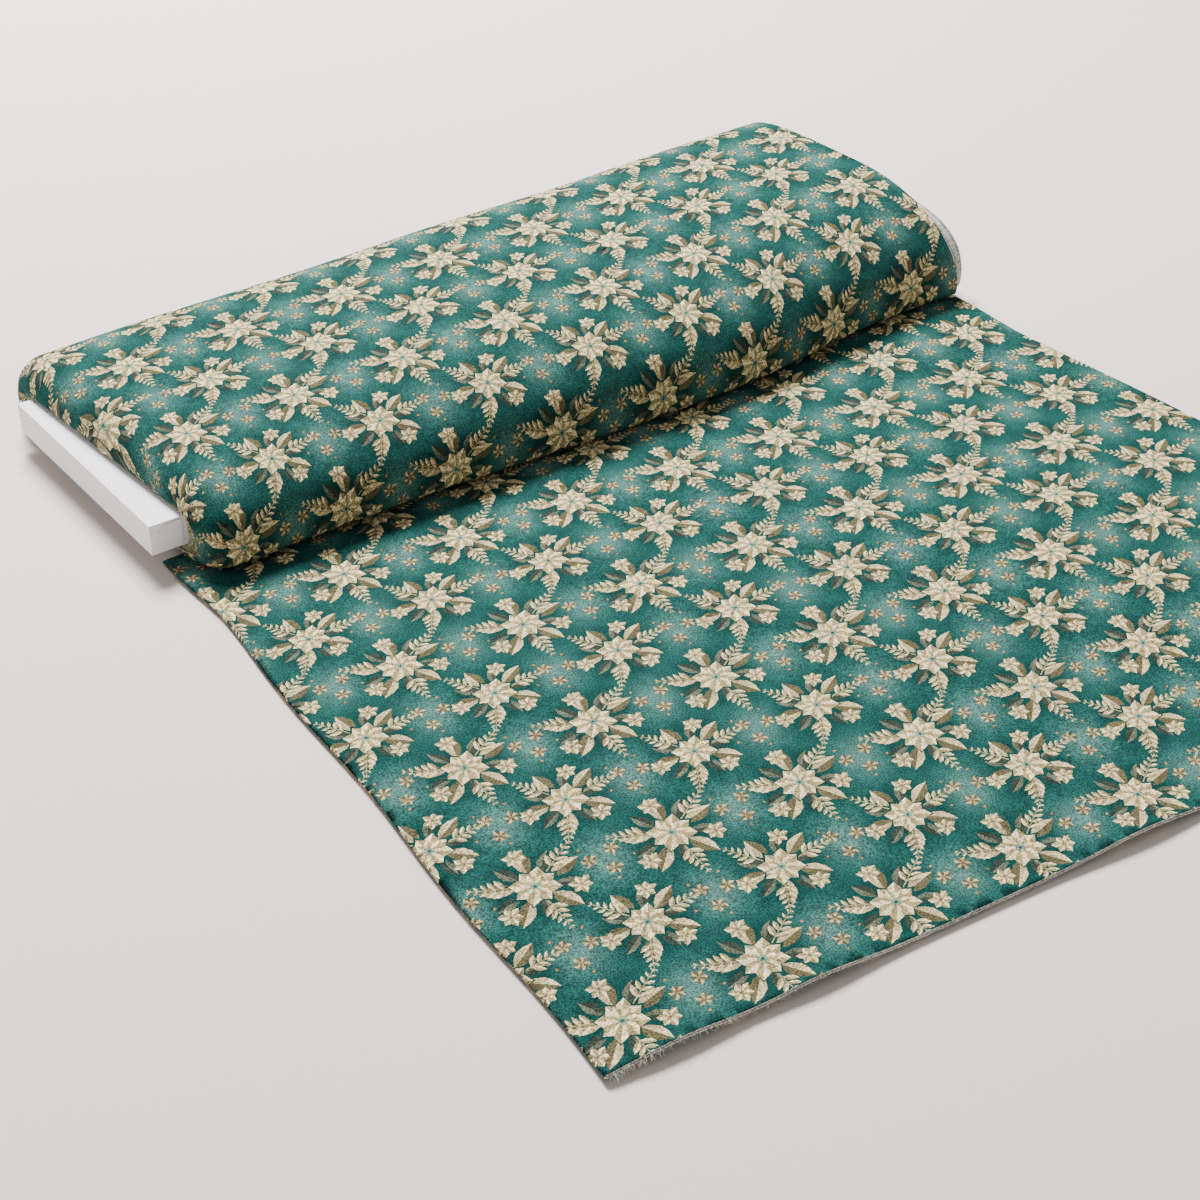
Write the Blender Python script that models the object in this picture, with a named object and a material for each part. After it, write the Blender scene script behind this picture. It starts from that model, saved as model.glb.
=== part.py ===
"""A bolt of folded cotton cloth on a flat paperboard core, with a free length lying open.

+X runs along the bolt, +Y points away from the open cloth and +Z is up. The origin is on
the resting plane, under the middle of the wound cloth. All sizes are in metres.
"""
import math

import bmesh
import bpy
from mathutils import Matrix, Vector

# Clearances
GAP = 0.0003                    # between pieces that touch

# Cloth, folded in half along its length, so every turn and the free length are two plies
CLOTH_WIDTH = 0.562             # fold to selvedges, along the bolt
PLY = 0.0010
TURN = 2 * PLY + GAP            # one turn of folded cloth

# Wound cloth: a flat roll that is fuller at the selvedge end
CLOTH_ON_FACES = 0.0110         # above and under the core, at the fold end
CLOTH_ON_EDGES = 0.0305         # in front of the core and behind it
FULLNESS = 0.0160               # how much taller the roll is at the selvedge end
ROLL_NOSE = 0.0340              # depth of the rounded front and back edges
NOSE_STEPS = 12                 # straight steps round each nose
ROLL_STEPS = 8                  # straight steps along the roll

# Paperboard core
BOARD_PROUD = 0.0100            # how far each end stands out of the cloth
BOARD_WIDTH = 0.1648
BOARD_THICKNESS = 0.0158
PANEL = 0.0030                  # corrugated face panels
EDGE_WALL = 0.0050
RIB = 0.0120
RIB_COUNT = 3
CAP_PLATE = 0.0012
CAP_WALL = 0.0008
CAP_DEPTH = 0.0250
EAR = 0.0005                    # thickness of the glued ears
EAR_LENGTH = 0.0170
EAR_ROUND = 0.0120
EAR_INSET = 0.0014              # bare strip of cap left round the ear
TAPE_WIDTH = 0.048
TAPE_LENGTH = 0.360
TAPE = 0.0003

# Free length of cloth
LEAF_LENGTH = 0.407             # along its fold edge
LEAF_SKEW = math.radians(4.8)   # the way it was pulled askew
LEAF_START = 0.0040             # how far in front of the roll's nose it starts to lift
LEAF_HINGE_GAP = 0.0015

# Sizes that follow from the ones above
CAP_WIDTH = BOARD_WIDTH + 2 * (CAP_WALL + GAP)
CAP_HEIGHT = BOARD_THICKNESS + 2 * (CAP_WALL + GAP)
BOARD_LENGTH = CLOTH_WIDTH + 2 * BOARD_PROUD    # over both end caps
SLEEVE_LENGTH = BOARD_LENGTH - 2 * (CAP_PLATE + GAP)
CAVITY_HEIGHT = BOARD_THICKNESS - 2 * (PANEL + GAP)
SLOT_WIDTH = CAP_WIDTH + 2 * (EAR + 2 * GAP)
SLOT_HEIGHT = CAP_HEIGHT + 2 * GAP
BOARD_Z = CLOTH_ON_FACES + CAP_HEIGHT / 2
ROLL_DEPTH = CAP_WIDTH + 2 * CLOTH_ON_EDGES
ROLL_HEIGHT = CAP_HEIGHT + 2 * CLOTH_ON_FACES   # at the fold end
ROLL_FRONT = -ROLL_DEPTH / 2
LEAF_HINGE_Y = ROLL_FRONT - LEAF_START
TONGUE_FRONT = LEAF_HINGE_Y + LEAF_HINGE_GAP

MATERIALS = {
    "printed_cotton": ((0.20, 0.38, 0.34, 1), 0.92),
    "plain_cotton": ((0.74, 0.73, 0.68, 1), 0.95),
    "white_paperboard": ((0.86, 0.86, 0.88, 1), 0.60),
    "corrugated_board": ((0.60, 0.46, 0.32, 1), 0.85),
    "paper_tape": ((0.80, 0.74, 0.60, 1), 0.55),
}


def clear_scene():
    for obj in list(bpy.data.objects):
        bpy.data.objects.remove(obj, do_unlink=True)


def new_collection(name):
    collection = bpy.data.collections.new(name)
    bpy.context.scene.collection.children.link(collection)
    return collection


def material(name):
    """The material called name, made on first use."""
    found = bpy.data.materials.get(name)
    if found:
        return found
    colour, roughness = MATERIALS[name]
    made = bpy.data.materials.new(name)
    made.use_nodes = True
    shader = made.node_tree.nodes["Principled BSDF"]
    shader.inputs["Base Color"].default_value = colour
    shader.inputs["Roughness"].default_value = roughness
    shader.inputs["Metallic"].default_value = 0.0
    made.diffuse_color = colour
    return made


def own_material(obj, name):
    """Give obj its own copy of a named material."""
    copy = material(name).copy()
    copy.name = f"{name}.{obj.name}"
    obj.data.materials.clear()
    obj.data.materials.append(copy)


def put_in(obj, collection):
    for other in list(obj.users_collection):
        other.objects.unlink(obj)
    collection.objects.link(obj)


def add_box(name, size, location, collection):
    """A box whose size is in its mesh, so that its scale stays 1."""
    bpy.ops.mesh.primitive_cube_add(size=1, location=location)
    obj = bpy.context.object
    obj.name = name
    obj.data.transform(Matrix.Diagonal((*size, 1)))
    put_in(obj, collection)
    return obj


def outline_solid(name, points, thickness, collection):
    """A flat closed outline in its own XY plane, as a mesh thickness deep about Z = 0."""
    curve = bpy.data.curves.new(name, "CURVE")
    curve.dimensions = "2D"
    curve.fill_mode = "BOTH"
    curve.extrude = thickness / 2
    spline = curve.splines.new("POLY")
    spline.points.add(len(points) - 1)
    for point, (x, y) in zip(spline.points, points):
        point.co = (x, y, 0, 1)
    spline.use_cyclic_u = True
    sketch = bpy.data.objects.new(name + "_sketch", curve)
    collection.objects.link(sketch)
    evaluated = sketch.evaluated_get(bpy.context.evaluated_depsgraph_get())
    mesh = bpy.data.meshes.new_from_object(evaluated)
    bpy.data.objects.remove(sketch, do_unlink=True)
    solid = bmesh.new()
    solid.from_mesh(mesh)
    bmesh.ops.remove_doubles(solid, verts=solid.verts, dist=1e-6)
    bmesh.ops.recalc_face_normals(solid, faces=solid.faces)
    solid.to_mesh(mesh)
    solid.free()
    mesh.name = name
    obj = bpy.data.objects.new(name, mesh)
    collection.objects.link(obj)
    return obj


def cut(obj, cutter):
    modifier = obj.modifiers.new("cut_" + cutter.name, "BOOLEAN")
    modifier.operation = "DIFFERENCE"
    modifier.solver = "EXACT"
    modifier.object = cutter
    cutter.hide_render = True
    cutter.display_type = "WIRE"


def nose(centre_y, centre_z, depth, half_height, start_angle):
    """Half an ellipse of points, half a turn anticlockwise from start_angle."""
    points = []
    for step in range(NOSE_STEPS + 1):
        angle = start_angle + math.pi * step / NOSE_STEPS
        points.append((centre_y + depth * math.cos(angle), centre_z + half_height * math.sin(angle)))
    return points


def roll_outline(inset, tongue=0.0):
    """The roll's end outline as (y, z) at the fold end, moved in by inset.

    A tongue runs forward along the resting plane, to where the free cloth starts.
    """
    half_depth = ROLL_DEPTH / 2 - inset
    half_height = ROLL_HEIGHT / 2 - inset
    depth = ROLL_NOSE - inset
    middle = ROLL_HEIGHT / 2
    points = nose(half_depth - depth, middle, depth, half_height, -math.pi / 2)
    front = nose(depth - half_depth, middle, depth, half_height, math.pi / 2)
    if tongue:
        front = [(y, z) for y, z in front if z > tongue]
        drop = 1 - tongue / half_height
        front.append((depth - half_depth - depth * math.sqrt(1 - drop * drop), tongue))
        front.append((TONGUE_FRONT, tongue))
        front.append((TONGUE_FRONT, 0.0))
    return points + front


def roll_height(x):
    """The roll grows evenly from its fold end to its selvedge end."""
    return ROLL_HEIGHT + FULLNESS * (x / CLOTH_WIDTH + 0.5)


def roll_solid(name, inset, length, collection, tongue=0.0):
    """The outline run along the bolt, with each end set to the roll's height there."""
    obj = outline_solid(name, roll_outline(inset, tongue), length, collection)
    # The outline's own X, Y and Z become world Y, Z and X.
    turn = Matrix(((0, 0, 1, 0), (1, 0, 0, 0), (0, 1, 0, 0), (0, 0, 0, 1)))
    obj.data.transform(turn)
    slices = bmesh.new()
    slices.from_mesh(obj.data)
    for step in range(1, ROLL_STEPS):
        place = (length * (step / ROLL_STEPS - 0.5), 0, 0)
        everything = slices.verts[:] + slices.edges[:] + slices.faces[:]
        bmesh.ops.bisect_plane(slices, geom=everything, plane_co=place, plane_no=(1, 0, 0))
    slices.to_mesh(obj.data)
    slices.free()
    for vertex in obj.data.vertices:
        ratio = (roll_height(vertex.co.x) - 2 * inset) / (ROLL_HEIGHT - 2 * inset)
        if vertex.co.z > tongue:
            vertex.co.z = inset + (vertex.co.z - inset) * ratio
    return obj


def make_wound_cloth(parts, cutters):
    """The inner turns round the board's slot, and the last turn round them."""
    pack = roll_solid("wound_pack", TURN + GAP, CLOTH_WIDTH, parts)
    slot = (CLOTH_WIDTH * 1.2, SLOT_WIDTH, SLOT_HEIGHT)
    cut(pack, add_box("board_slot_cutter", slot, (0, 0, BOARD_Z), cutters))
    own_material(pack, "plain_cotton")

    turn = roll_solid("outer_turn", 0.0, CLOTH_WIDTH, parts, tongue=TURN)
    cut(turn, roll_solid("outer_turn_cutter", TURN, CLOTH_WIDTH + 2 * TURN, cutters))
    own_material(turn, "printed_cotton")


def make_board(parts):
    """Face panels, edge walls and ribs, and the tape that holds the first turn."""
    panel_z = BOARD_THICKNESS / 2 - PANEL / 2
    for name, side in (("board_top_panel", 1), ("board_bottom_panel", -1)):
        size = (SLEEVE_LENGTH, BOARD_WIDTH, PANEL)
        own_material(add_box(name, size, (0, 0, BOARD_Z + side * panel_z), parts), "white_paperboard")

    wall_y = BOARD_WIDTH / 2 - EDGE_WALL / 2
    for name, side in (("board_front_wall", -1), ("board_back_wall", 1)):
        size = (SLEEVE_LENGTH, EDGE_WALL, CAVITY_HEIGHT)
        own_material(add_box(name, size, (0, side * wall_y, BOARD_Z), parts), "white_paperboard")

    pitch = BOARD_WIDTH / (RIB_COUNT + 1)
    for number in range(RIB_COUNT):
        rib_y = pitch * (number + 1) - BOARD_WIDTH / 2
        size = (SLEEVE_LENGTH, RIB, CAVITY_HEIGHT)
        rib = add_box(f"board_rib_{number + 1}", size, (0, rib_y, BOARD_Z), parts)
        own_material(rib, "corrugated_board")

    tape_z = BOARD_Z + BOARD_THICKNESS / 2 + GAP + TAPE / 2
    tape = add_box("start_tape", (TAPE_LENGTH, TAPE_WIDTH, TAPE), (0, 0, tape_z), parts)
    own_material(tape, "paper_tape")


def ear_outline():
    """A flap with one round top corner: X runs in from the cap's end, Y is up."""
    half = CAP_HEIGHT / 2 - EAR_INSET
    right = EAR_INSET + EAR_LENGTH
    points = [(EAR_INSET, -half), (right, -half), (right, half)]
    centre = (EAR_INSET + EAR_ROUND, half - EAR_ROUND)
    for step in range(9):
        angle = math.pi / 2 * (1 + step / 8)
        points.append((centre[0] + EAR_ROUND * math.cos(angle), centre[1] + EAR_ROUND * math.sin(angle)))
    return points


def make_end_cap(end, side, parts, cutters):
    """A tray that slips over one end of the board, with an ear glued on each narrow side.

    side is -1 for the fold end of the cloth and 1 for the selvedge end.
    """
    tip = side * BOARD_LENGTH / 2
    middle = tip - side * CAP_DEPTH / 2
    cap = add_box(f"end_cap_{end}", (CAP_DEPTH, CAP_WIDTH, CAP_HEIGHT), (middle, 0, BOARD_Z), parts)
    inside = (CAP_DEPTH, CAP_WIDTH - 2 * CAP_WALL, CAP_HEIGHT - 2 * CAP_WALL)
    inside_x = middle - side * CAP_PLATE
    cut(cap, add_box(f"end_cap_{end}_cutter", inside, (inside_x, 0, BOARD_Z), cutters))
    own_material(cap, "white_paperboard")

    for face, across in (("front", -1), ("back", 1)):
        ear = outline_solid(f"cap_ear_{end}_{face}", ear_outline(), EAR, parts)
        # The outline's own X runs inwards along the board, its Y is world Z.
        ear.data.transform(Matrix(((-side, 0, 0, 0), (0, 0, 1, 0), (0, 1, 0, 0), (0, 0, 0, 1))))
        if side < 0:
            ear.data.flip_normals()
        ear.location = (tip, across * (CAP_WIDTH / 2 + GAP + EAR / 2), BOARD_Z)
        own_material(ear, "white_paperboard")


def leaf_outline():
    """The free cloth in plan: its fold, cut and selvedge edges are square to each other."""
    along = Vector((math.cos(LEAF_SKEW), -math.sin(LEAF_SKEW)))
    away = Vector((-math.sin(LEAF_SKEW), -math.cos(LEAF_SKEW)))
    fold_rear = Vector((-CLOTH_WIDTH / 2, LEAF_HINGE_Y))
    fold_front = fold_rear + away * LEAF_LENGTH
    selvedge_front = fold_front + along * CLOTH_WIDTH
    selvedge_rear = Vector((CLOTH_WIDTH / 2, LEAF_HINGE_Y))
    return [fold_rear, fold_front, selvedge_front, selvedge_rear]


def make_leaf(parts):
    """Two plies that lift about a line along the front of the roll."""
    hinge = bpy.data.objects.new("leaf_hinge", None)
    hinge.location = (0, LEAF_HINGE_Y, TURN / 2)
    parts.objects.link(hinge)
    for name, low in (("leaf_lower_ply", 0.0), ("leaf_upper_ply", PLY + GAP)):
        ply = outline_solid(name, leaf_outline(), PLY, parts)
        ply.data.transform(Matrix.Translation((0, -LEAF_HINGE_Y, 0)))
        ply.parent = hinge
        ply.location = (0, 0, low + PLY / 2 - TURN / 2)
        own_material(ply, "printed_cotton")


def main():
    clear_scene()
    parts = new_collection("fabric_bolt")
    cutters = new_collection("cutters")
    make_wound_cloth(parts, cutters)
    make_board(parts)
    make_end_cap("left", -1, parts, cutters)
    make_end_cap("right", 1, parts, cutters)
    make_leaf(parts)


main()
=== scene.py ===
"""Fabric bolt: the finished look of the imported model, with the camera and the lights."""
import math
import random

import bmesh
import bpy
import numpy as np
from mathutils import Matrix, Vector
from mathutils.geometry import delaunay_2d_cdt


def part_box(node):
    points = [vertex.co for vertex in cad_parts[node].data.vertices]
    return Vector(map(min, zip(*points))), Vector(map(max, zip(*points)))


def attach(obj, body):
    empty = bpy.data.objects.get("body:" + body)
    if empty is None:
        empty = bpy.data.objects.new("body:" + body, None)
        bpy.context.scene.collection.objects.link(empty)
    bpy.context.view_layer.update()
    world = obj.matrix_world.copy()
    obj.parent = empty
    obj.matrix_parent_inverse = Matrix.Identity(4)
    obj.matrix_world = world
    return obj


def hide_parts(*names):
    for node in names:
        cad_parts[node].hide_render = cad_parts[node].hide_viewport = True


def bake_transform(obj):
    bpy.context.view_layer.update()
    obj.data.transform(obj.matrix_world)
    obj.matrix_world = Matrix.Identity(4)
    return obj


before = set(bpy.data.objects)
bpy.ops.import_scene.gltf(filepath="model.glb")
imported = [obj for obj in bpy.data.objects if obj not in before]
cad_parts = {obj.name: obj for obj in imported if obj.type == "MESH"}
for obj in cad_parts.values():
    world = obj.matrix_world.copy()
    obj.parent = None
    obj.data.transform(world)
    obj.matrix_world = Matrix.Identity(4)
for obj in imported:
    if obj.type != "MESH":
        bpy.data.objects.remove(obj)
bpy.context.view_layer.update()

MM = 0.001
dice = random.Random(7)

# ---------------------------------------------------------------- sizes from the frame
roll_low, roll_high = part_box("outer_turn")
cap_low, cap_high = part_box("end_cap_left")
LEFT = roll_low[0]
RIGHT = roll_high[0]
CLOTH_WIDTH = RIGHT - LEFT
ROLL_FRONT = -roll_low[1]
ROLL_BACK = roll_high[1]
BOARD_Z = (cap_low[2] + cap_high[2]) / 2
SIDE_GAP = 1.1 * MM
TOP_GAP = 0.4 * MM
SLOT_HALF_WIDTH = (cap_high[1] - cap_low[1]) / 2 + SIDE_GAP
SLOT_HALF_HEIGHT = (cap_high[2] - cap_low[2]) / 2 + TOP_GAP

# ---------------------------------------------------------------- the roll
# Height of the crown and of the widest line, each at the fold end and at the selvedge end.
LOW_HEIGHT = 0.0505
HIGH_HEIGHT = 0.0660
BELT_LOW = 0.0140
BELT_HIGH = 0.0110
# The cloth puffs out behind the plain solid, and more so at the selvedge end.
BACK_PUFF = 2 * MM
BACK_SPREAD = 10 * MM
# A larger power gives the section a squarer corner.
BACK_POWER = 4.6
FRONT_POWER = 3.0
FRONT_POWER_DROP = 0.95
UNDER_POWER = 3.6
# The nose lies on the free length, so it is never lower than this over that cloth.
NOSE_REST = 2.9 * MM
PLY = 0.6 * MM
TURN = 2.1 * MM
UNDER_TURN = TURN + 0.5 * MM
# Radius of the shoulder at the fold end, and the cloth that runs on from it to the board.
ROUND_END = 20 * MM
TUCK = 2.8 * MM
END_FRONT = cap_high[1] + 16 * MM
END_BACK = cap_high[1] + 14 * MM
END_LOW = 4 * MM
END_HIGH = cap_high[2] + 3.2 * MM
END_SKEW = 0.063
END_SET_BACK = 2.5 * MM
SEAM_ANGLE = math.pi + 1.1
ROLL_REVERSE_STEP = 0.006
# The turns under the outer one: layers that show at the ends, and points round the section.
LAYERS = 11
AROUND = 260
# How far the layers stick out at the selvedge end, at its upper front.
STICK_OUT = 13 * MM

# ---------------------------------------------------------------- the free length
LEAF_SKEW = math.radians(4.8)
LEAF_CORNER = (-0.3151, -0.5236)
LEAF_THICK = 2.1 * MM
LEAF_BACK_Y = -0.0790
LEAF_BULGE = 0.0195
LEAF_LONG_EDGE = 0.454
LEAF_FLARE = 4 * MM
LEAF_REVERSE_STEP = 0.008
# Ripples of the front edge: place and spread along it in metres, height in mm.
EDGE_RIPPLES = ((0.035, 0.03, 3.6), (0.105, 0.028, 3.2), (0.285, 0.035, 3.4), (0.43, 0.05, 2.0))
HINGE_Y = -0.118
BEND_ZONE = HINGE_Y - 0.025 - LEAF_CORNER[1]

# ---------------------------------------------------------------- the print
# One repeat in mm, and its slant, after the spacing of the motifs in the photo.
REPEAT_ACROSS = CLOTH_WIDTH / 8 / MM
REPEAT_ALONG = 90.0
PRINT_LEAN = 0.14
# Spacing of the ground's grid in mm; faces lower than the sliver height are left out.
CELL = 7.0
SLIVER = 2e-7
LONGEST_EDGE = 4.2 * MM
THREAD_COUNT = 1500
THREAD_WIDTH = 0.22 * MM

# ---------------------------------------------------------------- the camera
# Fitted to the straight edges of the bolt in the photo.
CAMERA_LENS = 66
CAMERA_PLACE = (-0.682, -1.0191, 0.6445)
CAMERA_AIM = (0.4912, 0.6693, -0.5575)


def linear(red, green, blue):
    """Linear light from the 0 to 255 values of a paint chart."""
    out = []
    for part in (red, green, blue):
        part = part / 255
        out.append(part / 12.92 if part <= 0.04045 else ((part + 0.055) / 1.055) ** 2.4)
    return np.array(out)


DARK_TEAL = linear(2, 58, 54)
MID_TEAL = linear(50, 110, 101)
SKY_TEAL = linear(122, 164, 154)
CREAM = linear(242, 224, 174)
SHADE_CREAM = linear(158, 142, 100)
DEEP_CREAM = linear(90, 84, 58)
SAND = linear(216, 197, 150)
GREY_GREEN = linear(74, 90, 80)
DARK_GREY = linear(30, 48, 44)
BROWN = linear(126, 102, 76)
ORANGE = linear(190, 120, 60)
PALE_BACK = linear(196, 202, 194)
RAW_EDGE = linear(214, 210, 200)


def mixed(one, other, share):
    return one * (1 - share) + other * share


def smooth(value, start, end):
    share = np.clip((value - start) / (end - start), 0, 1)
    return share * share * (3 - 2 * share)


def bump(value, centre, width):
    return np.exp(-(((value - centre) / width) ** 2))


# ---------------------------------------------------------------- the print's shapes, in mm
shapes = []


def paint(outline, colour, second=None, start=None, end=None):
    """Adds an outline with one colour, or with a fade from colour at start to second at end."""
    shapes.append((outline, colour, second, start, end))


def placed(points, x, y, angle=0.0, size=1.0):
    c, s = math.cos(angle) * size, math.sin(angle) * size
    return [(x + c * px - s * py, y + s * px + c * py) for px, py in points]


def off(x, y, angle, reach):
    """The place at this angle and distance from a centre."""
    return x + reach * math.cos(angle), y + reach * math.sin(angle)


def lens(length, width, fullest=0.5, steps=4):
    """Half of a leaf or petal: its midline and its one side."""
    lean = math.log(0.5) / math.log(fullest)
    side = []
    for k in range(1, steps):
        t = k / steps
        side.append((length * t, width / 2 * math.sin(math.pi * t**lean)))
    return [(0.0, 0.0)] + [(length, 0.0)] + side[::-1]


def blade(x, y, angle, length, width, light, dark, fullest=0.5, steps=4):
    """A petal or leaf with a light and a dark half."""
    half = lens(length, width, fullest, steps)
    other = [(px, -py) for px, py in half][::-1]
    tip = off(x, y, angle, length)
    paint(placed(half, x, y, angle), mixed(dark, light, 0.35), light, (x, y), tip)
    paint(placed(other, x, y, angle), mixed(dark, DEEP_CREAM, 0.3), dark, (x, y), tip)


def disc(x, y, radius, colour, sides):
    paint([off(x, y, math.tau * k / sides, radius) for k in range(sides)], colour)


def halo(x, y, radius, petals, turn, colour, extra):
    """A star behind a flower that shows past its petals by extra, and so outlines them."""
    points = []
    for k in range(2 * petals):
        angle = turn + math.pi * k / petals
        reach = radius + extra if k % 2 == 0 else radius * 0.62 + extra
        points.append(off(x, y, angle, reach))
    paint(points, colour)


def blossom(x, y, radius, petals, turn, light=CREAM, dark=SHADE_CREAM):
    """A star flower of pointed petals."""
    width = 1.15 * math.tau * radius * 0.5 / petals
    for k in range(petals):
        angle = turn + math.tau * k / petals
        reach = radius * (1.0 if k % 2 else 0.88)
        blade(x, y, angle, reach, width, light, dark, 0.55, 3)
    disc(x, y, radius * 0.17, BROWN, 6)


def rose(x, y, radius, turn):
    """The large flower: an outer and an inner ring of petals and a round heart."""
    halo(x, y, radius, 8, turn, DARK_TEAL, 1.2)
    for petals, reach, width, shift in ((8, 1.0, 0.56, 0.0), (7, 0.68, 0.36, 0.4)):
        for k in range(petals):
            angle = turn + shift + math.tau * k / petals
            length = radius * reach * (1.0 if k % 2 else 0.9)
            blade(x, y, angle, length, radius * width, CREAM, SHADE_CREAM, 0.62, 3)
    disc(x, y, radius * 0.2, mixed(MID_TEAL, CREAM, 0.2), 8)
    disc(x, y, radius * 0.09, mixed(DARK_TEAL, MID_TEAL, 0.5), 5)


def stem(points, width, colour, thin):
    """A line of the given width that thins to the share thin of it at its last point."""
    left, right = [], []
    for k, (x, y) in enumerate(points):
        before = points[max(k - 1, 0)]
        after = points[min(k + 1, len(points) - 1)]
        run = Vector((after[0] - before[0], after[1] - before[1])).normalized()
        half = width / 2 * (1 - (1 - thin) * k / (len(points) - 1))
        left.append((x - run.y * half, y + run.x * half))
        right.append((x + run.y * half, y - run.x * half))
    paint(left + right[::-1], colour)


def leaf(x, y, angle, length, width, light, dark):
    """A leaf with a light half, a dark half and a midrib."""
    blade(x, y, angle, length, width, light, dark, 0.5, 4)
    stem([(x, y), off(x, y, angle, 0.9 * length)], 0.5, dark, 0.3)


def sprig(x, y, angle, length, pairs, light, dark):
    """A straight stem with pairs of small leaves that shorten towards its tip."""
    stem([(x, y), off(x, y, angle, length)], 0.7, dark, 0.4)
    for k in range(pairs):
        share = (k + 1) / (pairs + 0.5)
        size = length * 0.34 * (1.2 - share)
        px, py = off(x, y, angle, length * share)
        for side in (-1, 1):
            blade(px, py, angle + side * math.radians(48), size, size * 0.42, light, dark, 0.5, 3)


def draw_bouquet(x, y, turn, size):
    """A plain daisy-like flower with leaves, sprigs and small blossoms evenly round it."""
    grey_leaf = mixed(GREY_GREEN, SHADE_CREAM, 0.25)
    for k in range(5):
        angle = turn + math.tau * k / 5
        leaf(*off(x, y, angle, 8 * size), angle, 18 * size, 8.5 * size, SAND, DEEP_CREAM)
        between = angle + math.tau / 10
        start = off(x, y, between, 8 * size)
        leaf(*start, between, 15 * size, 6.5 * size, grey_leaf, DARK_GREY)
    for k in range(3):
        angle = turn + 0.35 + math.tau * k / 3
        sprig(*off(x, y, angle, 10 * size), angle, 22 * size, 5, CREAM, SHADE_CREAM)
    for k in range(3):
        angle = turn + 1.35 + math.tau * k / 3
        blossom(*off(x, y, angle, 21 * size), 6.2 * size, 6, angle)
    rose(x, y, 12.5 * size, turn)


def draw_filler():
    """Three small blossoms and five dots in each of the two gaps between the bouquets."""
    for share_x, share_y in ((0.75, 0.25), (0.25, 0.75)):
        x, y = share_x * REPEAT_ACROSS, share_y * REPEAT_ALONG
        for k in range(3):
            angle = math.tau * k / 3 + share_x
            blossom(*off(x, y, angle, 7.5), 4.6, 5, angle, mixed(SAND, BROWN, 0.2), DEEP_CREAM)
        for k in range(5):
            disc(*off(x, y, math.tau * k / 5 + 1.0, 14), 0.8, ORANGE, 4)


# Half-drop layout: centre as shares of the repeat, turn and size of each bouquet.
BOUQUETS = ((0.25, 0.25, 0.3, 1.0), (0.75, 0.75, 1.9, 0.94))


def draw_print():
    draw_filler()
    for share_x, share_y, turn, size in BOUQUETS:
        draw_bouquet(share_x * REPEAT_ACROSS, share_y * REPEAT_ALONG, turn, size)


def ground(x, y):
    """The painted ground: dark round the bouquets and light in the gaps between them."""
    dark = np.zeros(len(x))
    light = np.zeros(len(x))
    for i in (-1, 0, 1):
        for j in (-1, 0, 1):
            for share_x, share_y, _, _ in BOUQUETS:
                far_x = x - (share_x + i) * REPEAT_ACROSS
                far_y = y - (share_y + j) * REPEAT_ALONG
                dark += np.exp(-(far_x**2 + far_y**2) / 25**2)
                far_x = x - (share_x + 0.5 + i) * REPEAT_ACROSS
                light += np.exp(-(far_x**2 + far_y**2) / 12**2)
    dark = np.clip(dark * 1.5, 0, 1)[:, None]
    light = np.clip(light, 0, 1)[:, None] * 0.8
    return mixed(mixed(MID_TEAL[None], SKY_TEAL[None], light), DARK_TEAL[None], dark)


def make_tile():
    """One repeat of the print as triangles, each with a colour at its corners."""
    width, height = REPEAT_ACROSS, REPEAT_ALONG
    across, along = round(width / CELL), round(height / CELL)
    points, polygons, owners, shifts = [], [], [], []

    def add(outline, owner, shift):
        polygons.append(list(range(len(points), len(points) + len(outline))))
        points.extend(Vector(p) for p in outline)
        owners.append(owner)
        shifts.append(np.array(shift))

    edge = [(width * k / across, 0.0) for k in range(across)]
    edge += [(width, height * k / along) for k in range(along)]
    edge += [(width - width * k / across, height) for k in range(across)]
    edge += [(0.0, height - height * k / along) for k in range(along)]
    add(edge, -1, (0.0, 0.0))
    for owner, (outline, *_) in enumerate(shapes):
        xs = [p[0] for p in outline]
        ys = [p[1] for p in outline]
        area = sum(
            outline[k - 1][0] * outline[k][1] - outline[k][0] * outline[k - 1][1]
            for k in range(len(outline))
        )
        turned = outline if area > 0 else outline[::-1]
        for i in range(-2, 3):
            for j in range(-2, 3):
                dx, dy = i * width, j * height
                inside_x = max(xs) + dx > 0 and min(xs) + dx < width
                inside_y = max(ys) + dy > 0 and min(ys) + dy < height
                if inside_x and inside_y:
                    add([(px + dx, py + dy) for px, py in turned], owner, (dx, dy))
    for i in range(1, across):
        for j in range(1, along):
            points.append(Vector((width * i / across, height * j / along)))
    spots, _, faces, _, _, sources = delaunay_2d_cdt(points, [], polygons, 0, 1e-4, True)
    flat = np.array([tuple(p) for p in spots])
    triangles, colours = [], []
    shade = ground(flat[:, 0], flat[:, 1])
    for corners, inside in zip(faces, sources):
        if 0 not in inside:
            continue
        top = max(inside, key=lambda k: owners[k])
        triangles.append(corners)
        if top == 0:
            colours.append([shade[c] for c in corners])
            continue
        _, colour, second, start, end = shapes[owners[top]]
        if second is None:
            colours.append([colour] * 3)
            continue
        line = np.array(end, float) - np.array(start, float)
        corner_colours = []
        for c in corners:
            share = np.dot(flat[c] - shifts[top] - np.array(start), line) / np.dot(line, line)
            corner_colours.append(mixed(colour, second, min(max(share, 0), 1)))
        colours.append(corner_colours)
    return flat, np.array(triangles), np.array(colours)


draw_print()
tile_points, tile_faces, tile_colours = make_tile()


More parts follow.
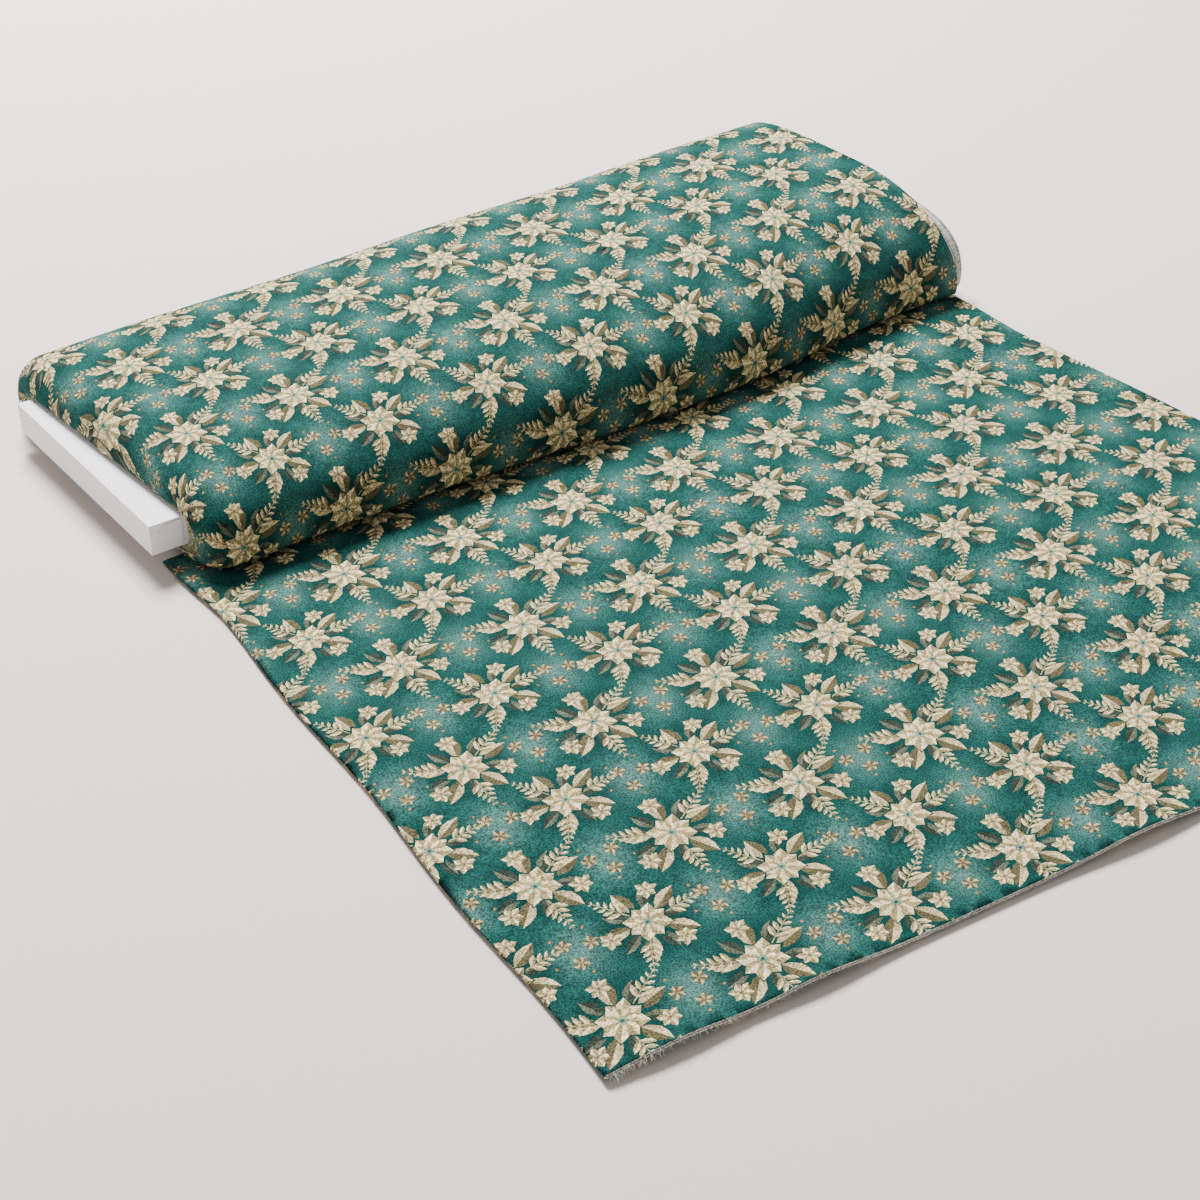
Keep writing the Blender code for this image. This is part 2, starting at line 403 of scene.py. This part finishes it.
# ---------------------------------------------------------------- cloth panels
def printed_mesh(low, high, phase):
    """The print laid over the flat cloth between two corners, in metres, as a bmesh."""
    width, height = REPEAT_ACROSS * MM, REPEAT_ALONG * MM
    shift_x, shift_y = phase
    blocks, colours = [], []
    rows = range(math.floor((low[1] - shift_y) / height), math.ceil((high[1] - shift_y) / height))
    for row in rows:
        lean = PRINT_LEAN * row * height
        drift = PRINT_LEAN * height
        first = math.floor((low[0] - shift_x - lean - drift) / width)
        last = math.ceil((high[0] - shift_x - lean) / width)
        for column in range(first, last):
            flat = tile_points * MM
            x = flat[:, 0] + column * width + PRINT_LEAN * (flat[:, 1] + row * height)
            y = flat[:, 1] + row * height
            blocks.append(np.column_stack([x + shift_x, y + shift_y, np.zeros(len(x))]))
            colours.append(tile_colours)
    count = len(tile_points)
    faces = np.concatenate([tile_faces + count * k for k in range(len(blocks))])
    mesh = bpy.data.meshes.new("flat_print")
    mesh.from_pydata(np.concatenate(blocks).tolist(), [], faces.tolist())
    tint = mesh.color_attributes.new("print", "FLOAT_COLOR", "CORNER")
    values = np.concatenate(colours).reshape(-1, 3)
    tint.data.foreach_set("color", np.column_stack([values, np.ones(len(values))]).ravel())
    bm = bmesh.new()
    bm.from_mesh(mesh)
    bpy.data.meshes.remove(mesh)
    return bm


def trim(bm, cuts):
    """Cuts the flat cloth off outside each (point, outward direction)."""
    for point, outward in cuts:
        geometry = bm.verts[:] + bm.edges[:] + bm.faces[:]
        bmesh.ops.bisect_plane(
            bm, geom=geometry, plane_co=point, plane_no=outward, clear_outer=True, dist=1e-7
        )
    bmesh.ops.remove_doubles(bm, verts=bm.verts, dist=2e-6)


def refine(bm, beyond):
    """Halves the long edges that lie further than this from the panel's front edge."""
    coarse = [
        edge
        for edge in bm.edges
        if edge.calc_length() > LONGEST_EDGE and min(v.co.y for v in edge.verts) >= beyond
    ]
    bmesh.ops.subdivide_edges(bm, edges=coarse, cuts=1)
    bmesh.ops.triangulate(bm, faces=bm.faces)


def add_reverse(bm, depth, step, cuts):
    """Closes a flat printed layer with a coarse reverse side and a rim."""
    bm.verts.index_update()
    tint = bm.loops.layers.float_color["print"]
    rim = [edge for edge in bm.edges if edge.is_boundary]
    ring = sorted({v for edge in rim for v in edge.verts}, key=lambda v: v.index)
    place = {v: k for k, v in enumerate(ring)}
    points = [v.co.xy for v in ring]
    xs = [p.x for p in points]
    ys = [p.y for p in points]
    across = max(2, round((max(xs) - min(xs)) / step))
    along = max(2, round((max(ys) - min(ys)) / step))
    inner = []
    for i in range(1, across):
        for j in range(1, along):
            x = min(xs) + (max(xs) - min(xs)) * i / across
            y = min(ys) + (max(ys) - min(ys)) * j / along
            spot = Vector((x, y, 0))
            if all((spot - Vector(p)).dot(Vector(n)) < -step / 3 for p, n in cuts):
                inner.append(spot.xy)
    lines = [(place[edge.verts[0]], place[edge.verts[1]]) for edge in rim]
    spots, _, faces, origins, _, _ = delaunay_2d_cdt(points + inner, lines, [], 0, 1e-7, True)
    made = [bm.verts.new((p.x, p.y, -depth)) for p in spots]
    below = {}
    for k, sources in enumerate(origins):
        for source in sources:
            if source < len(ring):
                below[ring[source]] = made[k]
    for corners in faces:
        a, b, c = (spots[k] for k in corners)
        longest = max((b - a).length, (c - b).length, (a - c).length)
        if abs((b - a).cross(c - a)) < SLIVER * longest:
            continue
        face = bm.faces.new([made[k] for k in reversed(corners)])
        for loop in face.loops:
            loop[tint] = (*PALE_BACK, 1)
    for edge in rim:
        loop = edge.link_loops[0]
        a, b = loop.vert, loop.link_loop_next.vert
        if below[a] == below[b]:
            continue
        face = bm.faces.new([b, a, below[a], below[b]])
        for corner in face.loops:
            corner[tint] = (*RAW_EDGE, 1)
    gaps = [edge for edge in bm.edges if edge.is_boundary]
    closed = bmesh.ops.holes_fill(bm, edges=gaps, sides=0)
    for face in closed["faces"]:
        for corner in face.loops:
            corner[tint] = (*RAW_EDGE, 1)


def link_piece(name, mesh):
    piece = bpy.data.objects.new(name, mesh)
    bpy.context.scene.collection.objects.link(piece)
    return piece


def face_outward(mesh):
    bm = bmesh.new()
    bm.from_mesh(mesh)
    bmesh.ops.recalc_face_normals(bm, faces=bm.faces)
    bm.to_mesh(mesh)
    bm.free()


def finish_panel(name, bm, put):
    """Lays the flat cloth out in the row frame, with a chart of its flat shape."""
    mesh = bpy.data.meshes.new(name)
    bm.faces.ensure_lookup_table()
    bm.verts.ensure_lookup_table()
    bm.to_mesh(mesh)
    bm.free()
    flat = np.empty(len(mesh.vertices) * 3)
    mesh.vertices.foreach_get("co", flat)
    flat = flat.reshape(-1, 3)
    corners = np.empty(len(mesh.loops), int)
    mesh.loops.foreach_get("vertex_index", corners)
    totals = np.empty(len(mesh.polygons), int)
    mesh.polygons.foreach_get("loop_total", totals)
    low, high = flat.min(0), flat.max(0)
    scale = min(0.99 / (high[0] - low[0]), 0.85 / (high[1] - low[1]))
    chart = (flat[corners, :2] - low[:2]) * scale + 0.003
    face_of = np.repeat(np.arange(len(totals)), totals)
    deep = np.zeros(len(totals))
    np.maximum.at(deep, face_of, -flat[corners, 2])
    reverse = (deep > 1e-6)[face_of]
    chart[reverse] = (flat[corners[reverse], :2] - low[:2]) * scale * 0.14 + (0.003, 0.87)
    layer = mesh.uv_layers.new(name="OFBake")
    layer.data.foreach_set("uv", chart.ravel())
    mesh.vertices.foreach_set("co", put(flat[:, 0], flat[:, 1], -flat[:, 2]).ravel())
    mesh.shade_smooth()
    mesh.update()
    return link_piece(name, mesh)


def box_cuts(low, high):
    """The four cuts along the sides of a flat rectangle."""
    return [
        ((low[0], 0, 0), (-1, 0, 0)),
        ((high[0], 0, 0), (1, 0, 0)),
        ((0, low[1], 0), (0, -1, 0)),
        ((0, high[1], 0), (0, 1, 0)),
    ]


def folded(u, depth, radius):
    """Sideways place and depth of cloth that bends over a folded edge where u is under 0."""
    angle = np.clip(-u / radius, 0, math.pi)
    arm = radius - depth
    sideways = np.where(u < 0, -arm * np.sin(angle), u)
    down = np.where(u < 0, radius - arm * np.cos(angle), depth)
    return sideways, down


# ---------------------------------------------------------------- the roll's shape
def section(s, angle):
    """Outside of the roll at share s of its length; angle 0 is the back and pi/2 the top."""
    height = LOW_HEIGHT + (HIGH_HEIGHT - LOW_HEIGHT) * s
    belt = BELT_LOW + (BELT_HIGH - BELT_LOW) * s
    front = ROLL_FRONT * (0.99 + 0.02 * bump(s, 0.58, 0.2) - 0.12 * smooth(s, 0.66, 0.95))
    c, d = np.cos(angle), np.sin(angle)
    half = np.where(c > 0, ROLL_BACK + BACK_PUFF + BACK_SPREAD * s, front)
    power = np.where(c > 0, BACK_POWER, FRONT_POWER - FRONT_POWER_DROP * s)
    power = np.where(d > 0, power, UNDER_POWER)
    rise = np.where(d > 0, height - belt, belt)
    y = half * np.sign(c) * np.abs(c) ** (2 / power)
    z = belt + rise * np.sign(d) * np.abs(d) ** (2 / power)
    return y, np.maximum(z, NOSE_REST * smooth(-y, 0.066, 0.078))


# Places along the length and round the section at which the way round is measured.
TABLE_ROWS = np.linspace(0, 1, 41)
fine = SEAM_ANGLE - np.linspace(0, math.tau, 2881)
even = np.linspace(0, 1, 1025)
angle_table, lengths = [], []
for s in TABLE_ROWS:
    y, z = section(s, fine)
    run = np.concatenate([[0], np.cumsum(np.hypot(np.diff(y), np.diff(z)))])
    lengths.append(run[-1])
    angle_table.append(np.interp(even, run / run[-1], fine))
angle_table = np.array(angle_table)
ROLL_LENGTH = float(np.mean(lengths))


def angle_at(s, share):
    """Angle of the point that is this share of the way round, measured along the cloth."""
    row = np.clip(s, 0, 1) * (len(TABLE_ROWS) - 1)
    column = np.clip(share, 0, 1) * (len(even) - 1)
    r = np.minimum(row.astype(int), len(TABLE_ROWS) - 2)
    c = np.minimum(column.astype(int), len(even) - 2)
    fr, fc = row - r, column - c
    upper = angle_table[r, c] * (1 - fc) + angle_table[r, c + 1] * fc
    lower = angle_table[r + 1, c] * (1 - fc) + angle_table[r + 1, c + 1] * fc
    return upper * (1 - fr) + lower * fr


def end_outline(angle):
    """Where the outer turn's edge lies round the board at the fold end."""
    c, d = np.cos(angle), np.sin(angle)
    half = np.where(c > 0, END_BACK, END_FRONT)
    rise = np.where(d > 0, END_HIGH - BELT_LOW, BELT_LOW - END_LOW)
    y = half * np.sign(c) * np.abs(c) ** (2 / 6)
    z = BELT_LOW + rise * np.sign(d) * np.abs(d) ** (2 / 5)
    return y, z


def slot_outline(angle):
    """The space that the board fills."""
    c, d = np.cos(angle), np.sin(angle)
    widest = np.maximum(np.abs(c), np.abs(d))
    return SLOT_HALF_WIDTH * c / widest, BOARD_Z + SLOT_HALF_HEIGHT * d / widest


def tapered(x, angle, closing):
    """The roll's outline, drawn in towards the board by the share closing."""
    y, z = section(np.clip((x - LEFT) / CLOTH_WIDTH, 0, 1), angle)
    end_y, end_z = end_outline(angle)
    return y * (1 - closing) + end_y * closing, z * (1 - closing) + end_z * closing


def roll_point(x, angle, depth, closing=0.0):
    """Point at this depth under the roll's smooth outside."""
    y, z = tapered(x, angle, closing)
    y1, z1 = tapered(x, angle - 0.01, closing)
    y2, z2 = tapered(x, angle + 0.01, closing)
    dy, dz = y1 - y2, z1 - z2
    size = np.maximum(np.hypot(dy, dz), 1e-9)
    # Shallow waves over the top, and deeper and longer ones along the nose.
    wave = 0.5 * MM * np.sin(x * 31 + 2.0 * np.sin(angle)) * smooth(np.sin(angle), -0.2, 0.3)
    wave += 1.0 * MM * np.sin(x * 19 + 1.3) * bump(np.cos(angle), -1.0, 0.35)
    sink = depth - wave * (1 - closing)
    return np.column_stack([x, y + dz / size * sink, z - dy / size * sink])


def skewed(points, u):
    """The fold end runs a little aslant: it stands back at the front."""
    shift = (END_BACK - points[:, 1]) * END_SKEW - END_SET_BACK
    points[:, 0] += shift * (1 - smooth(u, 0, 0.12))
    return points


def round_end(u):
    """Place along the roll, bend and closing of the cloth at u from its folded edge."""
    arc = ROUND_END * math.pi / 2
    bend = np.clip(u / arc, 0, 1) * math.pi / 2
    straight = ROUND_END + (u - arc) * (CLOTH_WIDTH - ROUND_END) / (CLOTH_WIDTH - arc)
    x = np.where(u < arc, ROUND_END * (1 - np.cos(bend)), straight)
    return x, bend, np.where(u < arc, 1 - np.sin(bend), 0)


def on_roll(u, h, depth):
    """Lays flat cloth round the roll: u runs along the roll and h round it."""
    angle = angle_at(u / CLOTH_WIDTH, h / ROLL_LENGTH)
    x, bend, closing = round_end(u)
    x = LEFT + x + depth * np.cos(bend)
    points = roll_point(x, angle, depth * np.maximum(np.sin(bend), 0.15), closing)
    slot_y, slot_z = slot_outline(angle)
    inward = np.column_stack([slot_y - points[:, 1], slot_z - points[:, 2]])
    size = np.maximum(np.linalg.norm(inward, axis=1), 1e-6)
    step = np.minimum(np.maximum(-u, 0), size - 0.2 * MM) / size
    points[:, 1:] += inward * np.where(u < 0, step, 0)[:, None]
    return skewed(points, u)


# ---------------------------------------------------------------- the free length's shape
def leaf_height(u, h):
    """Height of the free length's underside over the floor."""
    lift = 1.2
    for place, spread_along, height in EDGE_RIPPLES:
        lift = lift + height * bump(u, place, spread_along)
    edge = lift * MM * np.exp(-np.maximum(h, 0) / 0.020)
    broad = 0.6 * MM * (1 + np.sin(u * 17 + h * 9)) * smooth(h, 0.0, 0.05)
    crease = 1.6 * MM * bump(h, 0.40 + 0.084 * u, 0.030) * (1 + np.sin(u * 26 + 0.6))
    return 0.3 * MM + edge + broad * (1 - smooth(h, 0.38, 0.42)) + crease * 0.5


def leaf_place(sideways, h, z):
    """Lays flat cloth askew in front of the roll, with its selvedge edge bulging out."""
    right = np.array([math.cos(LEAF_SKEW), -math.sin(LEAF_SKEW)])
    up = np.array([math.sin(LEAF_SKEW), math.cos(LEAF_SKEW)])
    stretch = LEAF_BULGE * np.sin(math.pi * np.clip(h / LEAF_LONG_EDGE, 0, 1)) ** 2
    along = sideways + stretch * np.clip(sideways / CLOTH_WIDTH, 0, 1) ** 2
    wave = 1.2 * MM * np.sin(h * 37) * bump(sideways, 0.0, 0.05)
    flare = LEAF_FLARE * smooth(h, 0.37, 0.43) * bump(sideways, 0.0, 0.05)
    along = along + wave - flare
    x = LEAF_CORNER[0] + along * right[0] + h * up[0]
    y = LEAF_CORNER[1] + along * right[1] + h * up[1]
    return np.column_stack([x, y, z])


def on_leaf_top(u, h, depth):
    sideways, down = folded(u, depth, LEAF_THICK / 2)
    return leaf_place(sideways, h, leaf_height(np.maximum(u, 0), h) + LEAF_THICK - down)


def on_leaf_bottom(u, h, depth):
    sideways, down = folded(u, depth, LEAF_THICK / 2)
    return leaf_place(sideways, h, leaf_height(np.maximum(u, 0), h) + down)


def make_leaf_ply(name, put, phase, mirrored):
    """One ply of the free length; its fold edge is turned over by a quarter turn."""
    fold = math.pi * LEAF_THICK / 4
    far = LEAF_BACK_Y - LEAF_CORNER[1] + CLOTH_WIDTH * math.sin(LEAF_SKEW)
    low = (-fold, 0.0)
    high = (CLOTH_WIDTH, far / math.cos(LEAF_SKEW))
    bm = printed_mesh(low, high, phase)
    slant = Vector((-math.sin(LEAF_SKEW), math.cos(LEAF_SKEW), 0))
    start = (0, (LEAF_BACK_Y - LEAF_CORNER[1]) / math.cos(LEAF_SKEW), 0)
    cuts = box_cuts(low, high) + [(start, slant)]
    trim(bm, cuts)
    refine(bm, BEND_ZONE)
    add_reverse(bm, PLY, LEAF_REVERSE_STEP, cuts)
    if mirrored:
        bmesh.ops.reverse_faces(bm, faces=bm.faces)
    return finish_panel(name, bm, put)


leaf_top = make_leaf_ply("leaf_upper_cloth", on_leaf_top, (0.0, 0.0), False)
leaf_bottom = make_leaf_ply("leaf_lower_cloth", on_leaf_bottom, (0.020, 0.010), True)


def make_outer_turn():
    """The last turn round the roll, tucked in towards the board at the fold end."""
    low = (-TUCK, 0.0)
    high = (CLOTH_WIDTH, ROLL_LENGTH)
    bm = printed_mesh(low, high, (0.010, 0.030))
    cuts = box_cuts(low, high)
    trim(bm, cuts)
    refine(bm, 0)
    add_reverse(bm, PLY, ROLL_REVERSE_STEP, cuts)
    return finish_panel("outer_turn_cloth", bm, on_roll)


def on_roll_inside(u, h, depth):
    return on_roll(u, h, TURN - PLY + depth)


def make_inner_ply():
    """The inner half of the outer turn's folded cloth, unprinted side out."""
    across = round(CLOTH_WIDTH / ROLL_REVERSE_STEP)
    along = round(ROLL_LENGTH / ROLL_REVERSE_STEP)
    bm = bmesh.new()
    tint = bm.loops.layers.float_color.new("print")
    grid = []
    for i in range(across + 1):
        x = CLOTH_WIDTH * i / across
        grid.append([bm.verts.new((x, ROLL_LENGTH * j / along, 0)) for j in range(along + 1)])
    for i in range(across):
        for j in range(along):
            corners = (grid[i][j], grid[i + 1][j], grid[i + 1][j + 1], grid[i][j + 1])
            for loop in bm.faces.new(corners).loops:
                loop[tint] = (*PALE_BACK, 1)
    add_reverse(bm, PLY, ROLL_REVERSE_STEP, box_cuts((0, 0), (CLOTH_WIDTH, ROLL_LENGTH)))
    return finish_panel("outer_turn_inner_cloth", bm, on_roll_inside)


outer_turn = make_outer_turn()
inner_ply = make_inner_ply()


# ---------------------------------------------------------------- the wound turns
def outside_row(share, rounded, angles):
    """A line round the turns' outside, at a share of the rounded or of the straight part."""
    arc = ROUND_END * math.pi / 2
    u = arc * share if rounded else arc + (CLOTH_WIDTH - arc - 0.002) * share
    x, bend, closing = round_end(u * np.ones(len(angles)))
    x = LEFT + x + UNDER_TURN * np.cos(bend)
    sunk = UNDER_TURN * np.maximum(np.sin(bend), 0.15)
    points = skewed(roll_point(x, angles, sunk, closing), u)
    return points, np.tile(MID_TEAL, (len(angles), 1))


def end_row(share, at_fold, angles, wobble):
    """A line round the layered edges, at a share of the way from the outside to the board, with
    painted shade in the grooves between the layers.
    """
    ones = np.ones(len(angles))
    slot_y, slot_z = slot_outline(angles)
    layer = min(int(share * LAYERS + 1e-6), LAYERS)
    a, b, c = wobble[layer]
    place = share * LAYERS - layer
    jitter = (0.6 * np.sin(3 * angles + a) + 0.4 * np.sin(7 * angles + b) + c) * MM
    lean = share + 0.006 * np.sin(5 * angles + a)
    lean = ones * share if share in (0, 1) else np.clip(lean, 0, 1)
    if at_fold:
        outside = roll_point((LEFT + UNDER_TURN) * ones, angles, 0.15 * UNDER_TURN, 1.0)
        ridge = abs(math.sin(math.pi * place)) ** 0.6
        x = LEFT + UNDER_TURN + (0.9 * MM + jitter * 0.4) * (share > 0) - 1.4 * MM * ridge
    else:
        outside = roll_point(RIGHT * ones, angles, UNDER_TURN)
        front = bump(np.remainder(angles, math.tau), 0.84 * math.pi, 0.85)
        ridge = abs(math.sin(math.tau * place)) ** 0.5
        x = RIGHT - 2.6 * MM + jitter + 1.6 * MM * ridge
        x = x + STICK_OUT * front * min(share / 0.10, 1) * (1 - share)
    y = outside[:, 1] * (1 - lean) + slot_y * lean
    z = outside[:, 2] * (1 - lean) + slot_z * lean
    points = np.column_stack([x * ones, y, z])
    mottle = 0.5 + 0.5 * np.sin(angles * (9 + layer % 4) + a * 3) * np.sin(angles * 23 + b)
    edge = mixed(MID_TEAL[None], SAND[None], (0.25 + 0.6 * mottle)[:, None])
    if at_fold:
        points = skewed(points, 0.0)
    else:
        edge = mixed(edge, PALE_BACK[None], 0.85)
    # Painted shade: the edges' colour darkens down to 0.35 of it where ridge is low, in the
    # grooves between the layers.
    return points, edge * (0.35 + 0.65 * min(ridge * 1.4, 1))


def make_wound_turns():
    """The turns under the outer one: a ring with the layers' edges at both ends."""
    angles = SEAM_ANGLE - np.linspace(0, math.tau, AROUND, endpoint=False)
    wobble = [
        (dice.uniform(0, 6.28), dice.uniform(0, 6.28), dice.uniform(-0.7, 0.7))
        for _ in range(LAYERS + 1)
    ]
    made = []
    for k in range(LAYERS * 6 + 1):
        made.append(end_row(1 - k / (LAYERS * 6), True, angles, wobble))
    for k in range(1, 10):
        made.append(outside_row(k / 10, True, angles))
    for k in range(24):
        made.append(outside_row(k / 24, False, angles))
    for k in range(LAYERS * 8 + 1):
        made.append(end_row(k / (LAYERS * 8), False, angles, wobble))
    rows = [points for points, _ in made]
    values = np.concatenate([tints for _, tints in made])
    count = len(rows)
    faces = []
    for i in range(count):
        for j in range(AROUND):
            n, m = (i + 1) % count, (j + 1) % AROUND
            faces.append((i * AROUND + j, i * AROUND + m, n * AROUND + m, n * AROUND + j))
    mesh = bpy.data.meshes.new("wound_turns")
    mesh.from_pydata(np.concatenate(rows).tolist(), [], faces)
    tint = mesh.color_attributes.new("print", "FLOAT_COLOR", "POINT")
    tint.data.foreach_set("color", np.column_stack([values, np.ones(len(values))]).ravel())
    mesh.shade_smooth()
    face_outward(mesh)
    return link_piece("wound_turns", mesh)


wound = make_wound_turns()


# ---------------------------------------------------------------- frayed threads
def make_threads(name, spots, width):
    """Loose threads at a cut edge; each spot is (point, direction, length)."""
    verts, faces = [], []
    for start, heading, length in spots:
        side = heading.cross(Vector((0, 0, 1)))
        side = side.normalized() * width / 2
        top = Vector((0, 0, width / 2))
        base = len(verts)
        for share, size in ((0.0, 1.0), (0.5, 0.8), (1.0, 0.3)):
            droop = Vector((0, 0, -0.25 * length * share * share))
            centre = start + heading * length * share + droop
            for corner in (side, top, -side, -top):
                verts.append(centre + corner * size)
        for ring in range(2):
            for k in range(4):
                a, b = base + ring * 4 + k, base + ring * 4 + (k + 1) % 4
                faces.append((a, b, b + 4, a + 4))
        faces.append((base + 3, base + 2, base + 1, base))
        faces.append((base + 8, base + 9, base + 10, base + 11))
    mesh = bpy.data.meshes.new(name)
    mesh.from_pydata([tuple(v) for v in verts], [], faces)
    face_outward(mesh)
    return link_piece(name, mesh)


def front_threads():
    """Frayed threads along the free length's front edge, longer near its corner."""
    spots = []
    for _ in range(THREAD_COUNT):
        u = dice.uniform(0.002, CLOTH_WIDTH)
        depth = dice.uniform(0.1, 1.0) * LEAF_THICK
        start = on_leaf_top(np.array([u]), np.array([0.0008]), np.array([depth]))[0]
        turn = dice.gauss(0, 0.6)
        heading = Vector((math.sin(turn) - 0.08, -math.cos(turn), dice.uniform(-0.2, 0.35)))
        corner = 1.0 + 1.2 * math.exp(-u / 0.08)
        spots.append((Vector(start), heading.normalized(), dice.uniform(1.0, 2.4) * MM * corner))
    return make_threads("leaf_frayed_threads", spots, THREAD_WIDTH)


threads = front_threads()


# ---------------------------------------------------------------- materials
def new_material(name, roughness):
    material = bpy.data.materials.new(name)
    material.use_nodes = True
    tree = material.node_tree
    shader = tree.nodes["Principled BSDF"]
    shader.inputs["Roughness"].default_value = roughness
    shader.inputs["Specular IOR Level"].default_value = 0.25
    return material, tree, shader


def noise(tree, scale, detail, vector):
    node = tree.nodes.new("ShaderNodeTexNoise")
    node.inputs["Scale"].default_value = scale
    node.inputs["Detail"].default_value = detail
    tree.links.new(vector, node.inputs["Vector"])
    return node.outputs["Fac"]


def spread(tree, value, low, high):
    """Stretches a noise's middle range to run from low to high."""
    node = tree.nodes.new("ShaderNodeMapRange")
    node.inputs["From Min"].default_value = 0.36
    node.inputs["From Max"].default_value = 0.64
    node.inputs["To Min"].default_value = low
    node.inputs["To Max"].default_value = high
    tree.links.new(value, node.inputs["Value"])
    return node.outputs["Result"]


def multiply(tree, colour, value):
    node = tree.nodes.new("ShaderNodeMix")
    node.data_type = "RGBA"
    node.blend_type = "MULTIPLY"
    node.inputs["Factor"].default_value = 1.0
    tree.links.new(colour, node.inputs["A"])
    tree.links.new(value, node.inputs["B"])
    return node.outputs["Result"]


def printed_cotton():
    """Printed quilting cotton: the print's colours, mottled ink and a fine plain weave."""
    material, tree, shader = new_material("printed_cotton", 0.92)
    colour = tree.nodes.new("ShaderNodeAttribute")
    colour.attribute_name = "print"
    where = tree.nodes.new("ShaderNodeTexCoord").outputs["Object"]
    grain = spread(tree, noise(tree, 1250, 1, where), 0.42, 1.55)
    blotch = spread(tree, noise(tree, 190, 3, where), 0.82, 1.12)
    result = multiply(tree, colour.outputs["Color"], grain)
    result = multiply(tree, result, blotch)
    tree.links.new(result, shader.inputs["Base Color"])
    relief = tree.nodes.new("ShaderNodeBump")
    relief.inputs["Strength"].default_value = 0.25
    relief.inputs["Distance"].default_value = 0.0004
    shader.inputs["Specular IOR Level"].default_value = 0.12
    tree.links.new(noise(tree, 900, 2, where), relief.inputs["Height"])
    tree.links.new(relief.outputs["Normal"], shader.inputs["Normal"])
    return material


def paper(name, colour, roughness, strength):
    """Paperboard with faint fibres."""
    material, tree, shader = new_material(name, roughness)
    where = tree.nodes.new("ShaderNodeTexCoord").outputs["Object"]
    tone = tree.nodes.new("ShaderNodeRGB")
    tone.outputs[0].default_value = (*colour, 1)
    fibres = spread(tree, noise(tree, 240, 4, where), 1 - strength, 1 + strength * 0.4)
    tree.links.new(multiply(tree, tone.outputs[0], fibres), shader.inputs["Base Color"])
    return material


def corrugated(name, colour):
    """Brown board with its flutes showing as fine stripes."""
    material, tree, shader = new_material(name, 0.85)
    where = tree.nodes.new("ShaderNodeTexCoord").outputs["Object"]
    stripes = tree.nodes.new("ShaderNodeTexWave")
    stripes.inputs["Scale"].default_value = 75
    stripes.inputs["Distortion"].default_value = 0.6
    tree.links.new(where, stripes.inputs["Vector"])
    tone = tree.nodes.new("ShaderNodeRGB")
    tone.outputs[0].default_value = (*colour, 1)
    bands = spread(tree, stripes.outputs["Fac"], 0.88, 1.04)
    result = multiply(tree, tone.outputs[0], bands)
    result = multiply(tree, result, spread(tree, noise(tree, 300, 3, where), 0.9, 1.05))
    tree.links.new(result, shader.inputs["Base Color"])
    return material


def thread_material():
    material, _, shader = new_material("raw_threads", 0.95)
    shader.inputs["Base Color"].default_value = (*RAW_EDGE, 1)
    return material


print_material = printed_cotton()
white_board = paper("white_paperboard", linear(250, 250, 254), 0.6, 0.04)
brown_board = corrugated("corrugated_board", linear(176, 142, 104))
tape_paper = paper("paper_tape", linear(206, 186, 148), 0.5, 0.08)
thread_look = thread_material()


def wear(piece, material):
    piece.data.materials.clear()
    piece.data.materials.append(material)


for piece in (leaf_top, leaf_bottom, outer_turn, inner_ply):
    wear(piece, print_material)
wear(wound, print_material)
wear(threads, thread_look)

finishes = {
    "white_paperboard": white_board,
    "corrugated_board": brown_board,
    "paper_tape": tape_paper,
}
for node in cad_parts.values():
    worn = node.data.materials[0].name.split(".")[0] if node.data.materials else ""
    if worn in finishes:
        node.data.materials[0] = finishes[worn]
for name in ("end_cap_left", "end_cap_right"):
    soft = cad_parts[name].modifiers.new("soft_edges", "BEVEL")
    soft.width = 0.0010
    soft.segments = 3
    soft.limit_method = "ANGLE"

# ---------------------------------------------------------------- the floor
bpy.ops.mesh.primitive_plane_add(size=12, location=(0, 0, -0.0002))
floor = bpy.context.object
floor.name = "floor"
floor_material, _, floor_shader = new_material("pale_floor", 0.9)
floor_shader.inputs["Base Color"].default_value = (*linear(230, 220, 214), 1)
floor.data.materials.append(floor_material)

# ---------------------------------------------------------------- what moves with what
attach(outer_turn, "wound_cloth")
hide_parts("outer_turn")
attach(inner_ply, "wound_cloth")
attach(wound, "wound_cloth")
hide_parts("wound_pack")
for piece in (leaf_top, leaf_bottom, threads):
    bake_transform(piece)
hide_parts("leaf_upper_ply")
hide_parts("leaf_lower_ply")

# ---------------------------------------------------------------- lights and camera
world = bpy.data.worlds.new("studio")
world.use_nodes = True
world.node_tree.nodes["Background"].inputs["Color"].default_value = (1.0, 0.975, 0.96, 1)
world.node_tree.nodes["Background"].inputs["Strength"].default_value = 0.42
bpy.context.scene.world = world


def add_light(name, place, target, size, power):
    data = bpy.data.lights.new(name, "AREA")
    data.shape = "DISK"
    data.size = size
    data.energy = power
    light = bpy.data.objects.new(name, data)
    light.location = place
    light.rotation_euler = (Vector(target) - Vector(place)).to_track_quat("-Z", "Y").to_euler()
    bpy.context.scene.collection.objects.link(light)


add_light("main_light", (0.35, 1.6, 2.2), (0, -0.15, 0), 1.1, 262)

camera_data = bpy.data.cameras.new("camera")
camera_data.lens = CAMERA_LENS
camera_data.sensor_width = 36
camera = bpy.data.objects.new("camera", camera_data)
camera.location = CAMERA_PLACE
camera.rotation_euler = Vector(CAMERA_AIM).to_track_quat("-Z", "Y").to_euler()
bpy.context.scene.collection.objects.link(camera)
bpy.context.scene.camera = camera
